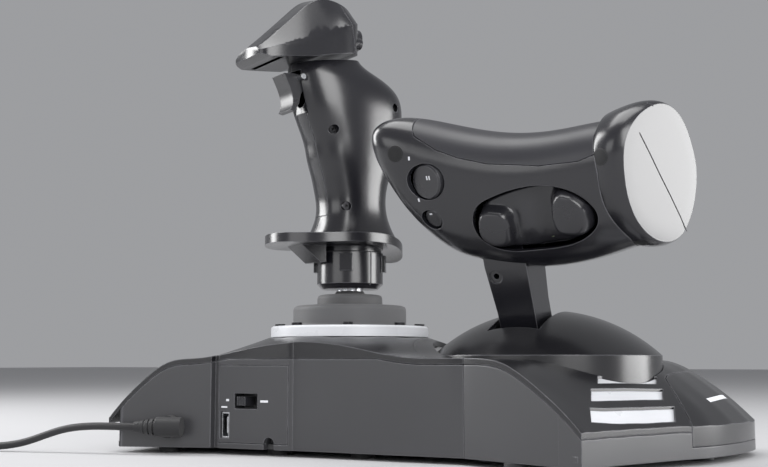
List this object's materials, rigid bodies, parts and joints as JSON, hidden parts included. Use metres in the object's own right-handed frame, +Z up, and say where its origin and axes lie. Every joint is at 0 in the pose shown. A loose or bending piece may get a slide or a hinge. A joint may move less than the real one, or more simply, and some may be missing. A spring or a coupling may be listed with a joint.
{
  "type": "flight joystick",
  "caption": "Desk flight stick with a twisting grip, thumb hat and trigger, joined to a hinged throttle handle with a rocker on one low base.",
  "frame": {"origin": "bottom of the foot on the stick's own axis, on the desk plane under the stick's pivot", "axes": "+X towards the stick side of the base along its length, away from the throttle; +Y forwards, away from the user; +Z up"},
  "size_m": [0.4236, 0.2961, 0.2405],
  "materials": {
    "shell_plastic": "satin",
    "grip_plastic": "semi-gloss",
    "handle_plastic": "semi-gloss",
    "pale_plastic": "satin silver",
    "button_plastic": "satin",
    "rubber_grey": "matte",
    "rubber_black": "matte",
    "steel": "brushed",
    "inner_plastic": "moulded",
    "board": "solder mask"
  },
  "bodies": {
    "base": {"stick_base_shell": "shell_plastic", "stick_base_cover": "shell_plastic", "throttle_base_shell": "shell_plastic", "throttle_base_cover": "shell_plastic", "hand_rest_panel": "shell_plastic", "vent_inserts": "pale_plastic", "port_panel": "shell_plastic", "bottom_plates": "inner_plastic", "base_screws": "steel", "rubber_feet": "rubber_black", "ballast_plates": "steel", "main_board": "board", "port_socket": "steel", "cable_strain_relief": "rubber_black", "usb_cable": "rubber_black", "usb_plug_body": "rubber_black", "usb_plug_shell": "steel", "gimbal_ring": "pale_plastic", "ring_screws": "steel", "boot_lower": "rubber_grey", "gimbal_housing": "inner_plastic", "pitch_sensor": "board", "throttle_dome": "handle_plastic", "lever_brackets": "inner_plastic", "friction_washers": "inner_plastic"},
    "pitch_frame": {"gimbal_frame": "inner_plastic", "roll_sensor": "board"},
    "stick_carrier": {"gimbal_carrier": "inner_plastic", "stick_shaft": "steel", "stick_collar": "grip_plastic", "boot_upper": "rubber_grey"},
    "grip": {"hand_flange": "grip_plastic", "grip_shell_left": "grip_plastic", "grip_shell_right": "grip_plastic", "grip_front_strip": "grip_plastic", "head_cap": "grip_plastic", "thumb_plate": "grip_plastic", "grip_screws": "steel", "trigger_pin": "steel", "grip_board": "board"},
    "trigger": {"trigger": "button_plastic"},
    "hat_ring": {"hat_cross": "button_plastic"},
    "hat": {"hat": "button_plastic"},
    "thumb_left": {"thumb_button_left": "button_plastic"},
    "thumb_right": {"thumb_button_right": "button_plastic"},
    "throttle": {"throttle_arm": "handle_plastic", "slot_shutter": "handle_plastic", "throttle_axle": "steel", "handle_front": "handle_plastic", "handle_rear": "handle_plastic", "handle_pad": "rubber_black", "handle_end_cap": "handle_plastic", "handle_board": "board"},
    "lens_large": {"lens_button_large": "button_plastic"},
    "lens_small": {"lens_button_small": "button_plastic"},
    "key_upper": {"thumb_key_upper": "button_plastic"},
    "key_lower": {"thumb_key_lower": "button_plastic"},
    "rocker": {"rudder_rocker": "button_plastic"},
    "selector": {"selector_slider": "button_plastic"},
    "knob": {"tension_knob": "button_plastic"}
  },
  "joints": [
    {"name": "stick_pitch", "type": "hinge", "parent": "base", "child": "pitch_frame", "pos_m": [0, 0, 0.04], "axis": [1, 0, 0], "range_deg": [-15, 15], "deforming": ["boot_lower"]},
    {"name": "stick_roll", "type": "hinge", "parent": "pitch_frame", "child": "stick_carrier", "pos_m": [0, 0, 0.04], "axis": [0, 1, 0], "range_deg": [-15, 15], "deforming": ["boot_upper"]},
    {"name": "stick_twist", "type": "hinge", "parent": "stick_carrier", "child": "grip", "pos_m": [0, 0, 0.105], "axis": [0, 0, 1], "range_deg": [0, 50]},
    {"name": "trigger_pull", "type": "hinge", "parent": "grip", "child": "trigger", "pos_m": [0.01543, 0.03308, 0.1948], "axis": [-0.9063, 0.4226, 0], "range_deg": [0, 10]},
    {"name": "hat_sideways", "type": "hinge", "parent": "grip", "child": "hat_ring", "pos_m": [0.00296, 0.00634, 0.2226], "axis": [0, 0, 1], "range_deg": [-8, 8]},
    {"name": "hat_updown", "type": "hinge", "parent": "hat_ring", "child": "hat", "pos_m": [0.00296, 0.00634, 0.2226], "axis": [0.9063, -0.4226, 0], "range_deg": [-8, 8]},
    {"name": "thumb_left_press", "type": "slide", "parent": "grip", "child": "thumb_left", "axis": [0.4226, 0.9063, 0], "range_m": [0, 0.0012]},
    {"name": "thumb_right_press", "type": "slide", "parent": "grip", "child": "thumb_right", "axis": [0.4226, 0.9063, 0], "range_m": [0, 0.0012]},
    {"name": "throttle_lever", "type": "hinge", "parent": "base", "child": "throttle", "pos_m": [-0.1034, -0.0215, 0.02], "axis": [-1, 0, 0], "range_deg": [-50, 6]},
    {"name": "rudder_rock", "type": "hinge", "parent": "throttle", "child": "rocker", "pos_m": [-0.12441, -0.01133, 0.01526], "axis": [0, 0.4226, 0.9063], "range_deg": [-4, 4]},
    {"name": "lens_large_press", "type": "slide", "parent": "throttle", "child": "lens_large", "axis": [-0.2406, -0.9187, 0.3131], "range_m": [0, 0.0015]},
    {"name": "lens_small_press", "type": "slide", "parent": "throttle", "child": "lens_small", "axis": [-0.2674, -0.7431, 0.6134], "range_m": [0, 0.0015]},
    {"name": "key_upper_press", "type": "slide", "parent": "throttle", "child": "key_upper", "axis": [-0.2059, 0.819, -0.5355], "range_m": [0, 0.0012]},
    {"name": "key_lower_press", "type": "slide", "parent": "throttle", "child": "key_lower", "axis": [-0.2078, 0.9007, -0.3815], "range_m": [0, 0.0012]},
    {"name": "selector_slide", "type": "slide", "parent": "base", "child": "selector", "axis": [1, 0, 0], "range_m": [-0.0048, 0]},
    {"name": "tension_turn", "type": "hinge", "parent": "base", "child": "knob", "pos_m": [-0.1254, -0.0555, 0.005], "axis": [0, 0, 1], "range_deg": [-135, 135]}
  ]
}
